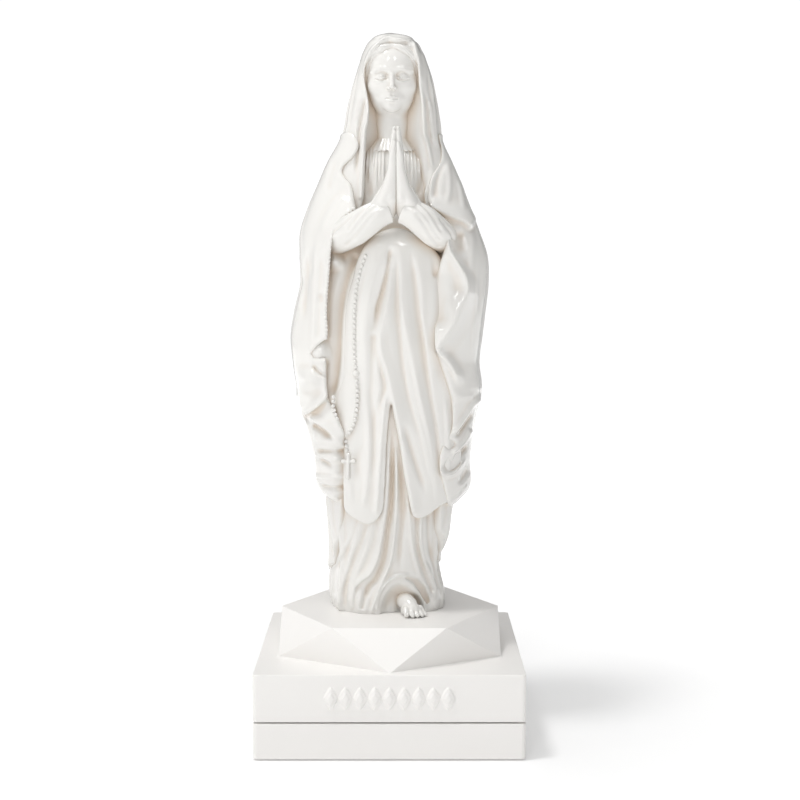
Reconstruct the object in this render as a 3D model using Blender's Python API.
"""Glazed ceramic Madonna on a two-part square base, which opens as an incense chamber.

The lower slab is a tray that holds a brass incense dish. The upper slab is its lid: it carries the
faceted plinth and the figure, and a spigot under it drops into the tray. The figure is built from
the castings that a potter lutes together: skirt, bodice, over-skirt, mantle, veil, head, sleeves,
hands and feet, with applied collar, beads, cross and trim.

Frame: +Z up, the figure faces -Y, +X is on the right of someone who looks at its face. The origin
is on the table, under the middle of the base. Sizes are in millimetres and are scaled to metres
where a mesh is made.
"""

from math import ceil, cos, pi, radians, sin

import bmesh
import bpy
from mathutils import Matrix, Vector

MM = 0.001
GAP = 0.4  # clearance between neighbouring castings

# ---- driving dimensions of the base, mm
BASE_SIDE = 112.0
CORNER_RADIUS = 1.6
EDGE_RADIUS = 0.7
PAD_PROUD = 0.6
PAD_RADIUS = 6.0
PAD_THICKNESS = 1.6
PAD_INSET = 14.0  # pad centre from the base's edge
TRAY_TOP = 15.6
SEAM = 0.6  # shadow gap between tray and lid
LID_BOTTOM = TRAY_TOP + SEAM
LID_TOP = 36.0
WALL = 8.0
FLOOR = 4.4
REBATE_WALL = 5.0
REBATE_DEPTH = 4.6
LID_ROOF = 5.0
CHAMBER_SIDE = BASE_SIDE - 2 * WALL
VENT_WIDTH = 3.0
VENT_HEIGHT = 9.0
VENT_SPACING = 9.0

# ---- plinth: six corners below, six above turned by half a step
PLINTH_BOTTOM = LID_TOP + 0.3
PLINTH_TOP = 52.0
PLINTH_LOWER_RADIUS = 54.6
PLINTH_UPPER_RADIUS = 47.6
PLINTH_CAVITY_RADIUS = 36.0
PLINTH_ROOF = 5.0
ROOF_OPENING_RADIUS = 32.0

# ---- dish
DISH_RADIUS = 30.0
DISH_BASE = FLOOR + PAD_PROUD + 0.3
DISH_RIM_HEIGHT = 4.0
DISH_PLATE = 1.4
BOSS_RADIUS = 5.0
BOSS_HEIGHT = 5.0
STICK_HOLE_RADIUS = 1.3

# ---- figure
AXIS_Y = 2.0  # the figure's upright axis stands this far behind the base's middle
FOOT_Z = PLINTH_TOP + 0.3
WAIST_Z = 206.0
SHOULDER_Z = 252.0
CAVITY_RADIUS = 13.5
CAVITY_TOP = 190.0
MANTLE_EDGE = 50.0  # degrees from the front, where each side of the mantle begins
DRAPE_EDGE = 46.0
TRAIN_EDGE = 60.0  # the mantle's long back panel begins here
MANTLE_THICKNESS = 5.0
VEIL_THICKNESS = 2.2

# Each row: height, then the outline's reach to the left, right, front and back of the axis.
GOWN = (
    (FOOT_Z, 24.5, 22.7, 18.5, 17.5),
    (60, 25.2, 22.0, 17.5, 17.0),
    (70, 25.0, 19.8, 16.8, 16.5),
    (82, 24.6, 21.0, 17.0, 16.8),
    (96, 23.5, 23.0, 17.5, 17.5),
    (118, 24.0, 24.0, 18.5, 18.0),
    (148, 26.0, 26.0, 19.5, 19.0),
    (182, 26.0, 26.0, 19.5, 19.5),
    (WAIST_Z, 25.0, 25.0, 17.5, 19.0),
    (220, 26.0, 26.0, 16.5, 18.5),
    (230, 24.8, 24.8, 15.2, 17.8),
    (240, 21.6, 21.6, 13.4, 16.2),
    (246, 18.0, 18.0, 12.0, 14.5),
    (SHOULDER_Z, 11.0, 11.0, 9.5, 10.5),
)
DRAPE = (
    (89, 26.5, 26.0, 21.0, 20.0),
    (106, 27.5, 27.0, 22.5, 20.0),
    (128, 28.0, 27.5, 23.5, 20.0),
    (160, 29.0, 28.5, 24.0, 20.0),
    (182, 29.0, 28.5, 23.5, 20.0),
    (203, 28.0, 28.0, 21.5, 20.0),
)
TRAIN = (
    (68, 28.0, 24.0, 20.0, 21.5),
    (82, 28.0, 26.0, 20.5, 22.0),
    (96, 27.5, 28.5, 21.5, 22.5),
)
MANTLE = (
    (97, 27.8, 32.0, 25.0, 23.5),
    (106, 31.0, 34.3, 26.0, 24.5),
    (118, 32.9, 34.5, 27.0, 25.0),
    (128, 35.0, 35.6, 28.0, 25.0),
    (138, 38.3, 37.4, 29.0, 25.5),
    (148, 40.4, 40.0, 30.0, 26.0),
    (160, 42.2, 38.5, 31.0, 26.5),
    (170, 42.9, 39.6, 32.0, 27.0),
    (182, 40.8, 40.8, 32.0, 27.0),
    (194, 38.2, 42.1, 31.4, 26.8),
    (206, 38.4, 41.4, 29.8, 26.3),
    (220, 37.2, 36.8, 26.2, 25.5),
    (230, 33.6, 33.4, 23.3, 24.6),
    (240, 29.6, 29.8, 20.8, 23.2),
    (246, 27.0, 27.0, 19.4, 22.0),
    (254, 23.2, 23.8, 17.6, 20.8),
    (262, 20.8, 22.6, 16.4, 20.2),
)
VEIL = (
    (230, 28.6, 28.6, 20.0, 22.0),
    (240, 25.6, 25.6, 17.6, 20.2),
    (246, 21.6, 21.8, 15.6, 18.6),
    (254, 18.6, 20.0, 14.6, 17.8),
    (262, 18.8, 20.8, 14.6, 17.6),
    (272, 16.6, 19.2, 16.2, 18.6),
    (282, 14.6, 17.4, 17.0, 18.8),
    (288, 13.4, 15.8, 17.2, 18.2),
    (293, 11.6, 13.6, 15.4, 16.0),
    (297, 8.8, 10.4, 11.6, 11.6),
    (299.4, 4.2, 5.2, 5.6, 5.4),
    (300, 1.4, 1.6, 1.8, 1.8),
)
HEAD = (
    (SHOULDER_Z + GAP, 6.9, 6.9, 8.0, 6.0),
    (258, 6.4, 6.4, 7.6, 6.0),
    (263, 6.4, 6.4, 8.0, 6.6),
    (266, 7.2, 7.2, 12.6, 8.0),
    (270, 9.2, 9.2, 14.2, 10.0),
    (278, 10.8, 10.8, 14.6, 12.4),
    (286, 10.8, 10.8, 14.2, 13.0),
    (292, 8.8, 8.8, 11.6, 11.0),
    (295.5, 5.0, 5.0, 6.8, 6.4),
    (296.4, 1.4, 1.4, 2.0, 1.8),
)
OUTLINE_POWER = 2.2

# ---- applied relief
BEAD_RADIUS = 0.9
TRIM_RADIUS = 0.8
RELIEF_DEPTH = 1.3
FRIEZE_LENGTH = 54.0
FRIEZE_HEIGHT = 9.6
FRIEZE_MIDDLE = 26.2
FRIEZE_RELIEF = 1.5
FRIEZE_RAIL = 1.4
FRIEZE_LOZENGES = 9

# ---- hands and feet
ELBOW = Vector((25.0, -11.0, 208.0))
WRIST = Vector((7.4, -26.5, 222.5))
# Each row: height, front and back of a hand, and its thickness away from the other hand.
HAND_SECTIONS = (
    (225, -30.5, -19.5, 7.4),
    (232, -31.5, -19.0, 6.6),
    (242, -31.0, -20.5, 5.2),
    (252, -29.5, -21.5, 4.0),
    (257.5, -28.0, -22.5, 3.0),
    (259.6, -26.6, -23.6, 1.6),
)
# Each row: distance behind the toes, half-width and height of a foot's section.
FOOT_SECTIONS = ((0.0, 3.6, 3.0), (2.5, 5.4, 4.6), (7.0, 5.2, 5.8), (12.0, 4.6, 6.0))


# ---- scene and material helpers
def clear_scene():
    for obj in list(bpy.data.objects):
        bpy.data.objects.remove(obj)


def material(name, colour, roughness, metallic=0.0):
    made = bpy.data.materials.new(name)
    made.use_nodes = True
    shader = made.node_tree.nodes["Principled BSDF"]
    shader.inputs["Base Color"].default_value = (*colour, 1.0)
    shader.inputs["Roughness"].default_value = roughness
    shader.inputs["Metallic"].default_value = metallic
    return made


def finish_object(name, mesh_data, look, parent=None, smooth_angle=35.0):
    """Turns a bmesh in millimetres into a named object in metres."""
    bmesh.ops.recalc_face_normals(mesh_data, faces=mesh_data.faces)
    bmesh.ops.scale(mesh_data, vec=(MM, MM, MM), verts=mesh_data.verts)
    mesh = bpy.data.meshes.new(name)
    mesh_data.to_mesh(mesh)
    mesh_data.free()
    mesh.shade_smooth()
    mesh.set_sharp_from_angle(angle=radians(smooth_angle))
    obj = bpy.data.objects.new(name, mesh)
    bpy.context.scene.collection.objects.link(obj)
    if look:
        mesh.materials.append(look)
    if parent:
        obj.parent = parent
    return obj


def as_guide(obj):
    obj.hide_render = True
    obj.display_type = "WIRE"
    return obj


def cut(obj, *cutters):
    for cutter in cutters:
        change = obj.modifiers.new(f"cut_{cutter.name}", "BOOLEAN")
        change.operation = "DIFFERENCE"
        change.object = cutter


def join(obj, *others):
    for other in others:
        change = obj.modifiers.new(f"join_{other.name}", "BOOLEAN")
        change.operation = "UNION"
        change.object = other


def soften(obj, width, segments=2):
    bevel = obj.modifiers.new("soft_edges", "BEVEL")
    bevel.width = width * MM
    bevel.segments = segments
    bevel.limit_method = "ANGLE"


# ---- shapes
def loft(rings):
    """A bmesh skin through rings of the same number of points, closed at both ends."""
    shape = bmesh.new()
    rows = [[shape.verts.new(point) for point in ring] for ring in rings]
    count = len(rows[0])
    for low, high in zip(rows, rows[1:]):
        for k in range(count):
            following = (k + 1) % count
            shape.faces.new((low[k], low[following], high[following], high[k]))
    shape.faces.new(tuple(reversed(rows[0])))
    shape.faces.new(tuple(rows[-1]))
    return shape


def rounded_square(side, radius, z, corner_steps=3):
    half = side / 2 - radius
    points = []
    for corner in range(4):
        cx = half * (1 if corner in (0, 3) else -1)
        cy = half * (1 if corner in (0, 1) else -1)
        for step in range(corner_steps + 1):
            angle = (corner + step / corner_steps) * pi / 2
            points.append((cx + radius * cos(angle), cy + radius * sin(angle), z))
    return points


def slab(name, side, radius, bottom, top, look=None, parent=None):
    rings = [rounded_square(side, radius, z) for z in (bottom, top)]
    return finish_object(name, loft(rings), look, parent)


def circle(radius, z, sides, centre=(0.0, 0.0)):
    return [
        (centre[0] + radius * cos(2 * pi * k / sides), centre[1] + radius * sin(2 * pi * k / sides), z)
        for k in range(sides)
    ]


def turned(name, profile, sides, centre=(0.0, 0.0), look=None, parent=None):
    """A solid of revolution: profile is (radius, height) from its lower cap to its upper cap."""
    rings = [circle(radius, z, sides, centre) for radius, z in profile]
    return finish_object(name, loft(rings), look, parent)


# ---- the figure's outlines, in polar form round its axis
def reach(table, z):
    """The outline's reach to the left, right, front and back at a height."""
    rows = sorted(table)
    z = min(max(z, rows[0][0]), rows[-1][0])
    for low, high in zip(rows, rows[1:]):
        if z <= high[0]:
            share = (z - low[0]) / (high[0] - low[0])
            return [a + (b - a) * share for a, b in zip(low[1:], high[1:])]
    return list(rows[-1][1:])


def outline(table, angle, z, extra=0.0):
    """Distance from the axis at an angle in degrees, 0 in front and 90 towards +X."""
    left, right, front, back = reach(table, z)
    across = (right if sin(radians(angle)) > 0 else left) + extra
    along = (front if cos(radians(angle)) > 0 else back) + extra
    total = (abs(sin(radians(angle))) / across) ** OUTLINE_POWER
    total += (abs(cos(radians(angle))) / along) ** OUTLINE_POWER
    return total ** (-1 / OUTLINE_POWER)


def polar_point(angle, radius, z):
    return Vector((radius * sin(radians(angle)), AXIS_Y - radius * cos(radians(angle)), z))


def solid_from(name, table, columns, look=None, parent=None, extra=0.0, bottom=None, top=None):
    """A closed solid whose cross-sections follow a table, between two heights."""
    heights = [row[0] for row in sorted(table)]
    bottom = heights[0] if bottom is None else bottom
    top = heights[-1] if top is None else top
    levels = [bottom] + [z for z in heights if bottom < z < top] + [top]
    angles = [360 * k / columns for k in range(columns)]
    rings = [[polar_point(a, outline(table, a, z, extra), z) for a in angles] for z in levels]
    return finish_object(name, loft(rings), look, parent)


def strip(name, levels, first, last, columns, outer, inner, look, parent):
    """A shell between two radius functions, from angle first(z) to last(z) at each level."""
    rings = []
    for z in levels:
        start, end = first(z), last(z)
        angles = [start + (end - start) * k / columns for k in range(columns + 1)]
        face = [polar_point(a, outer(a, z), z) for a in angles]
        back = [polar_point(a, inner(a, z), z) for a in reversed(angles)]
        rings.append(face + back)
    return finish_object(name, loft(rings), look, parent)


def levels_between(bottom, top, *tables):
    """Every height that these tables name between two heights, so that nested shells keep step."""
    inside = {row[0] for table in tables for row in table if bottom < row[0] < top}
    return [bottom, *sorted(inside), top]


def under_mantle(angle, z):
    """The outermost surface that the mantle lies on."""
    below = outline(GOWN, angle, z) if z <= SHOULDER_Z else 0.0
    if z >= VEIL[0][0]:
        below = max(below, outline(VEIL, angle, z))
    return below


def in_front(angle, z):
    """The outermost surface of skirt, over-skirt, bodice, veil and mantle at an angle and height."""
    side = abs((angle + 180) % 360 - 180)
    radius = outline(GOWN, angle, min(z, SHOULDER_Z))
    if DRAPE[0][0] - 3 <= z <= DRAPE[-1][0] + 3 and side < DRAPE_EDGE + 5:
        radius = max(radius, outline(DRAPE, angle, z))
    if z >= VEIL[0][0] - 3:
        radius = max(radius, outline(VEIL, angle, z))
    if MANTLE[0][0] - 3 <= z <= MANTLE[-1][0] + 3 and side > MANTLE_EDGE - 5:
        radius = max(radius, outline(MANTLE, angle, z))
    return radius


# ---- parts of the base
def make_tray(look, body):
    tray = slab("base_tray", BASE_SIDE, CORNER_RADIUS, PAD_PROUD, TRAY_TOP, look, body)
    soften(tray, EDGE_RADIUS)
    well = slab("tray_well", CHAMBER_SIDE, 4.0, PAD_PROUD + FLOOR, TRAY_TOP + 5)
    rebate_side = BASE_SIDE - 2 * REBATE_WALL
    rebate = slab("tray_rebate", rebate_side, 4.0, TRAY_TOP - REBATE_DEPTH, TRAY_TOP + 4)
    cut(tray, as_guide(well), as_guide(rebate))
    offset = BASE_SIDE / 2 - PAD_INSET
    for side, x in (("left", -offset), ("right", offset)):
        for end, y in (("front", -offset), ("back", offset)):
            make_pad(f"foot_pad_{end}_{side}", (x, y), tray, body)
    return tray


def make_pad(name, centre, tray, body):
    pocket_top = PAD_THICKNESS + 0.3
    pocket = turned(f"{name}_pocket", ((PAD_RADIUS + 0.3, -3), (PAD_RADIUS + 0.3, pocket_top)), 20, centre)
    cut(tray, as_guide(pocket))
    turned(name, ((PAD_RADIUS, 0), (PAD_RADIUS, PAD_THICKNESS)), 20, centre, FELT, body)


def make_dish(look, body):
    top = DISH_BASE + DISH_PLATE
    dish = turned(
        "incense_dish",
        ((DISH_RADIUS - 2, DISH_BASE), (DISH_RADIUS, DISH_BASE + DISH_RIM_HEIGHT)),
        32,
        look=look,
        parent=body,
    )
    hollow = turned("dish_hollow", ((DISH_RADIUS - 3.6, top), (DISH_RADIUS - 1.2, top + 8)), 32)
    cut(dish, as_guide(hollow))
    boss_top = DISH_BASE + BOSS_HEIGHT
    boss = turned("stick_boss", ((BOSS_RADIUS, DISH_BASE + 0.5), (BOSS_RADIUS - 1.4, boss_top)), 20)
    join(dish, as_guide(boss))
    hole = turned("stick_hole", ((STICK_HOLE_RADIUS, top), (STICK_HOLE_RADIUS, boss_top + 2)), 12)
    cut(dish, as_guide(hole))


def make_lid(look, body):
    lid = slab("lid_slab", BASE_SIDE, CORNER_RADIUS, LID_BOTTOM, LID_TOP, look, body)
    soften(lid, EDGE_RADIUS)
    spigot_side = BASE_SIDE - 2 * REBATE_WALL - 2 * GAP
    spigot_bottom = TRAY_TOP - REBATE_DEPTH + 0.3
    spigot = slab("lid_spigot", spigot_side, 3.6, spigot_bottom, LID_BOTTOM + 3)
    join(lid, as_guide(spigot))
    chamber = slab("lid_chamber", CHAMBER_SIDE, 4.0, spigot_bottom - 2, LID_TOP - LID_ROOF)
    opening_ends = (LID_TOP - LID_ROOF - 2, LID_TOP + 2)
    opening = turned("roof_opening", [(ROOF_OPENING_RADIUS, z) for z in opening_ends], 36)
    cut(lid, as_guide(chamber), as_guide(opening))
    for place in (-1, 0, 1):
        cut(lid, as_guide(vent(f"vent_cutter_{place + 2}", place * VENT_SPACING)))
    return lid


def vent(name, x):
    """A slot with round ends through the lid's back wall."""
    straight = (VENT_HEIGHT - VENT_WIDTH) / 2
    middle = (LID_BOTTOM + LID_TOP - LID_ROOF) / 2 + 1
    section = []
    for end in (1, -1):
        for step in range(5):
            angle = pi * step / 4 + (0 if end > 0 else pi)
            across = x + VENT_WIDTH / 2 * cos(angle)
            section.append((across, middle + end * straight + VENT_WIDTH / 2 * sin(angle)))
    rings = [[(px, y, pz) for px, pz in section] for y in (BASE_SIDE / 2 - WALL - 3, BASE_SIDE / 2 + 3)]
    return finish_object(name, loft(rings), None)


def make_frieze(look, body):
    """A generic row of lozenges on a rail, in relief on the front of the lid."""
    pitch = FRIEZE_LENGTH / FRIEZE_LOZENGES
    half_width = 0.42 * pitch
    rail = FRIEZE_RAIL / 2
    upper = []
    for k in range(FRIEZE_LOZENGES):
        centre = -FRIEZE_LENGTH / 2 + pitch * (k + 0.5)
        upper += [(centre - half_width, rail), (centre, FRIEZE_HEIGHT / 2), (centre + half_width, rail)]
    section = upper + [(x, -z) for x, z in reversed(upper)]
    face = -BASE_SIDE / 2 - GAP
    rings = [[(x, y, FRIEZE_MIDDLE + z) for x, z in section] for y in (face, face - FRIEZE_RELIEF)]
    finish_object("front_frieze", loft(rings), look, body, smooth_angle=20)


def corner(k, radius, z):
    """A hexagon's corner, the first one in front."""
    return (radius * sin(k * pi / 3), -radius * cos(k * pi / 3), z)


def make_plinth(look, body):
    """Six triangles that stand on the slab alternate with six that hang from the top."""
    shape = bmesh.new()
    low = [shape.verts.new(corner(k, PLINTH_LOWER_RADIUS, PLINTH_BOTTOM)) for k in range(6)]
    high = [shape.verts.new(corner(k + 0.5, PLINTH_UPPER_RADIUS, PLINTH_TOP)) for k in range(6)]
    shape.faces.new(tuple(reversed(low)))
    shape.faces.new(tuple(high))
    for k in range(6):
        shape.faces.new((low[k], low[(k + 1) % 6], high[k]))
        shape.faces.new((high[k], low[(k + 1) % 6], high[(k + 1) % 6]))
    plinth = finish_object("faceted_plinth", shape, look, body, smooth_angle=10)
    cavity_top = PLINTH_TOP - PLINTH_ROOF
    cavity = turned(
        "plinth_cavity",
        ((PLINTH_CAVITY_RADIUS, PLINTH_BOTTOM - 2), (PLINTH_CAVITY_RADIUS - 4, cavity_top)),
        36,
    )
    cut(plinth, as_guide(cavity))


# ---- parts of the figure
def make_skirt(look, body):
    skirt = solid_from("gown_skirt", GOWN, 36, look, body, top=WAIST_Z - GAP)
    cavity = turned(
        "skirt_cavity", ((CAVITY_RADIUS, FOOT_Z - 3), (CAVITY_RADIUS - 3, CAVITY_TOP)), 20, (0, AXIS_Y)
    )
    cut(skirt, as_guide(cavity))
    return skirt


def make_bodice(look, body):
    solid_from("gown_bodice", GOWN, 36, look, body, bottom=WAIST_Z)


def make_over_skirt(look, body):
    strip(
        "over_skirt",
        levels_between(DRAPE[0][0], DRAPE[-1][0], DRAPE, GOWN),
        lambda z: -DRAPE_EDGE,
        lambda z: DRAPE_EDGE,
        14,
        lambda a, z: outline(DRAPE, a, z),
        lambda a, z: outline(GOWN, a, z) + GAP,
        look,
        body,
    )


def mantle_edge(z):
    """Angle from the front where the mantle begins: it closes a little towards the neck."""
    return MANTLE_EDGE if z < 228 else MANTLE_EDGE - 0.35 * (z - 228)


def make_mantle(look, body):
    strip(
        "mantle",
        levels_between(MANTLE[0][0], MANTLE[-1][0], MANTLE, VEIL, GOWN),
        mantle_edge,
        lambda z: 360 - mantle_edge(z),
        26,
        lambda a, z: outline(MANTLE, a, z),
        lambda a, z: max(under_mantle(a, z) + GAP, outline(MANTLE, a, z) - MANTLE_THICKNESS),
        look,
        body,
    )
    strip(
        "mantle_train",
        levels_between(TRAIN[0][0], TRAIN[-1][0], TRAIN, GOWN),
        lambda z: TRAIN_EDGE,
        lambda z: 360 - TRAIN_EDGE,
        20,
        lambda a, z: outline(TRAIN, a, z),
        lambda a, z: outline(GOWN, a, z) + GAP,
        look,
        body,
    )


def make_head(look, body):
    solid_from("head", HEAD, 28, look, body)


def make_veil(look, body):
    """A dome over the head, open at the face, whose lower part lies on the bodice."""
    veil = solid_from("veil", VEIL, 30, look, body)
    hollow = solid_from("veil_hollow", VEIL, 30, extra=-VEIL_THICKNESS, bottom=250, top=297.4)
    head_room = solid_from("head_room", HEAD, 28, extra=GAP)
    chest_room = solid_from("chest_room", GOWN, 36, extra=GAP, bottom=220)
    throat = solid_from("throat_room", ((225, 9, 9, 9, 9), (256, 10, 10, 10, 10)), 20)
    # The opening is an arch that follows the face and widens over the chest.
    arch = [(-8.6, 284), (-9.6, 272), (-10, 258), (-12, 224), (12, 224), (10, 258), (9.6, 272), (8.6, 284)]
    arch += [(8.6 * cos(radians(a)), 284 + 7 * sin(radians(a))) for a in (30, 60, 90, 120, 150)]
    rings = [[(x, y, z) for x, z in arch] for y in (-30, AXIS_Y - 4)]
    face_opening = finish_object("face_opening", loft(rings), None)
    cut(veil, *(as_guide(g) for g in (hollow, head_room, chest_room, throat, face_opening)))


def make_collar(look, body):
    profile = ((10.6, SHOULDER_Z + GAP), (10.9, SHOULDER_Z + 1.6), (9.4, SHOULDER_Z + 3.4))
    collar = turned("collar", profile, 28, (0, 0.8), look, body)
    neck_room = solid_from("neck_room", HEAD, 28, extra=GAP, bottom=SHOULDER_Z - 1, top=262)
    cut(collar, as_guide(neck_room))


def tube_between(name, start, end, start_radius, end_radius, sides=16, look=None, parent=None):
    """A tapered round bar from one point to another."""
    start, end = Vector(start), Vector(end)
    turn = (end - start).to_track_quat("Z", "Y").to_matrix()
    rings = []
    for centre, radius in ((start, start_radius), (end, end_radius)):
        rings.append([centre + turn @ Vector(p) for p in circle(radius, 0.0, sides)])
    return finish_object(name, loft(rings), look, parent)


def mirrored(point, side):
    return Vector((side * point.x, point.y, point.z))


def make_arm(side_name, side, cloth, skin, envelope, body):
    """A sleeve from under the mantle to the wrist, and the hand that stands on it."""
    elbow, wrist = mirrored(ELBOW, side), mirrored(WRIST, side)
    sleeve = tube_between(f"{side_name}_sleeve", elbow, wrist, 10.0, 6.4, 18, cloth, body)
    cut(sleeve, envelope)
    beyond = wrist + (wrist - elbow).normalized() * GAP
    room = tube_between(f"{side_name}_sleeve_room", elbow, beyond, 10.5, 6.8, 18)
    inner = 0.25  # half the gap between the palms
    rings = []
    for z, front, back, outer in HAND_SECTIONS:
        bow = 0.25 * (back - front)
        section = [(inner, front + bow), (outer * 0.6, front), (outer, front + bow), (outer, back - bow)]
        section += [(outer * 0.6, back), (inner, back - bow)]
        rings.append([(side * x, y, z) for x, y in section])
    hand = finish_object(f"{side_name}_hand", loft(rings), skin, body)
    cut(hand, as_guide(room))


def vault(half_width, height, drop):
    """A half-round section on the ground line; drop lowers its two ends below it."""
    arch = [(half_width * cos(pi * k / 8), height * sin(pi * k / 8)) for k in range(9)]
    return [(half_width, -drop), *arch[1:-1], (-half_width, -drop)]


def foot_shape(name, x, toe_y, look=None, body=None, grow=0.0, drop=0.0):
    rings = []
    for k, (behind_toe, half_width, height) in enumerate(FOOT_SECTIONS):
        end = {0: -grow, len(FOOT_SECTIONS) - 1: grow}.get(k, 0.0)
        section = vault(half_width + grow, height + grow, drop)
        rings.append([(x + dx, toe_y + behind_toe + end, FOOT_Z + dz) for dx, dz in section])
    return finish_object(name, loft(rings), look, body)


def make_foot(name, x, toe_y, skirt, look, body):
    """The front of a bare foot, which shows under the skirt's hem."""
    cut(skirt, as_guide(foot_shape(f"{name}_room", x, toe_y, grow=GAP, drop=2.0)))
    foot_shape(name, x, toe_y, look, body)


def cord_along(name, points, radius, look, body):
    """A thin round relief along points on the figure."""
    curve = bpy.data.curves.new(name, "CURVE")
    curve.dimensions = "3D"
    curve.bevel_depth = radius * MM
    curve.bevel_resolution = 1
    curve.use_fill_caps = True
    spline = curve.splines.new("POLY")
    spline.points.add(len(points) - 1)
    for slot, point in zip(spline.points, points):
        slot.co = (*(point * MM), 1.0)
    obj = bpy.data.objects.new(name, curve)
    obj.data.materials.append(look)
    obj.parent = body
    bpy.context.scene.collection.objects.link(obj)


def between(p, q, r, s, t):
    """A Catmull-Rom curve's value at a share t of the way from q to r."""
    bend = 2 * p - 5 * q + 4 * r - s
    twist = 3 * q - p - 3 * r + s
    return 0.5 * (2 * q + (r - p) * t + bend * t**2 + twist * t**3)


def smooth_route(knots, spacing):
    """Points along a smooth curve through (angle, height) knots, about spacing apart."""
    route = []
    ends = [knots[0], *knots, knots[-1]]
    for a, b, c, d in zip(ends, ends[1:], ends[2:], ends[3:]):
        steps = max(1, ceil(abs(c[1] - b[1]) / spacing))
        for step in range(steps):
            route.append(tuple(between(*values, step / steps) for values in zip(a, b, c, d)))
    return route + [knots[-1]]


def make_rosary(look, body):
    """A relief string of beads down the over-skirt, with a medal part of the way, and a cross."""
    strands = {
        "rosary_front_strand": ((-27, 199), (-35, 184), (-37, 170), (-36, 159.6)),
        "rosary_lower_strand": ((-35, 153.4), (-36, 144), (-40, 136), (-43.5, 131.4)),
        "rosary_pendant_strand": ((-44, 129.2), (-44, 124.4)),
    }
    for name, knots in strands.items():
        route = smooth_route(knots, 4.0)
        points = [polar_point(a, outline(DRAPE, a, z) + BEAD_RADIUS + GAP, z) for a, z in route]
        cord_along(name, points, BEAD_RADIUS, look, body)
    relief_disc("rosary_medal", -35.5, 156.5, 1.7, look, body)
    relief_cross("rosary_cross", -43.0, 119.4, look, body)


def relief_frame(angle, z, table):
    """A matrix whose Z axis points out of the figure at a place on its surface."""
    place = polar_point(angle, outline(table, angle, z) + GAP, z)
    ahead = polar_point(angle + 1, outline(table, angle + 1, z), z)
    behind = polar_point(angle - 1, outline(table, angle - 1, z), z)
    across = (ahead - behind).normalized()
    up = Vector((0, 0, 1))
    out = across.cross(up).normalized()
    rotation = Matrix((across, up, out)).transposed().to_4x4()
    return Matrix.Translation(place) @ rotation


def relief_disc(name, angle, z, radius, look, body):
    rings = [circle(radius, 0.0, 12), circle(radius * 0.8, RELIEF_DEPTH, 12)]
    shape = loft(rings)
    shape.transform(relief_frame(angle, z, DRAPE))
    finish_object(name, shape, look, body)


def relief_cross(name, angle, z, look, body):
    arm, width, high, low = 2.2, 0.8, 3.4, 7.6
    section = [(width, -low), (width, -width), (arm, -width), (arm, width), (width, width), (width, high)]
    section += [(-x, y) for x, y in reversed(section)]
    rings = [[(x, y, depth) for x, y in section] for depth in (0.0, RELIEF_DEPTH)]
    shape = loft(rings)
    shape.transform(relief_frame(angle, z, DRAPE))
    finish_object(name, shape, look, body, smooth_angle=20)


def make_trim(look, body):
    """The beaded braid along the front edge of the mantle's left side."""
    knots = [(-MANTLE_EDGE - 3, z) for z in (198, 190, 180, 170)]
    proud = GAP + TRIM_RADIUS
    points = [polar_point(a, outline(MANTLE, a, z) + proud, z) for a, z in smooth_route(knots, 4.5)]
    cord_along("mantle_trim", points, TRIM_RADIUS, look, body)


def make_envelope():
    """Everything that the sleeves stand against, grown by the clearance."""
    columns = 120
    bottom, top = 150.0, 262.0
    levels = [bottom + (top - bottom) * k / 28 for k in range(29)]
    rings = []
    for z in levels:
        angles = [360 * k / columns for k in range(columns)]
        rings.append([polar_point(a, in_front(a, z) + GAP, z) for a in angles])
    return as_guide(finish_object("figure_envelope", loft(rings), None))


def body_empty(name):
    empty = bpy.data.objects.new(name, None)
    bpy.context.scene.collection.objects.link(empty)
    return empty


clear_scene()
GLAZED = material("white_glaze", (0.86, 0.84, 0.81), 0.12)
BISQUE = material("satin_white", (0.87, 0.85, 0.83), 0.42)
BRASS = material("brass", (0.72, 0.52, 0.24), 0.3, 1.0)
FELT = material("felt", (0.55, 0.53, 0.5), 0.95)

tray_body = body_empty("tray_body")
dish_body = body_empty("dish_body")
lid_body = body_empty("lid_body")

make_tray(BISQUE, tray_body)
make_dish(BRASS, dish_body)
make_lid(BISQUE, lid_body)
make_frieze(BISQUE, lid_body)
make_plinth(BISQUE, lid_body)
figure_skirt = make_skirt(GLAZED, lid_body)
make_bodice(GLAZED, lid_body)
make_over_skirt(GLAZED, lid_body)
make_mantle(GLAZED, lid_body)
make_head(GLAZED, lid_body)
make_veil(GLAZED, lid_body)
make_collar(GLAZED, lid_body)
figure_envelope = make_envelope()
for arm_name, arm_side in (("left", -1), ("right", 1)):
    make_arm(arm_name, arm_side, GLAZED, GLAZED, figure_envelope, lid_body)
make_foot("right_foot", 8.5, -19.5, figure_skirt, GLAZED, lid_body)
make_foot("left_foot", -8.5, -17.5, figure_skirt, GLAZED, lid_body)
make_rosary(GLAZED, lid_body)
make_trim(GLAZED, lid_body)
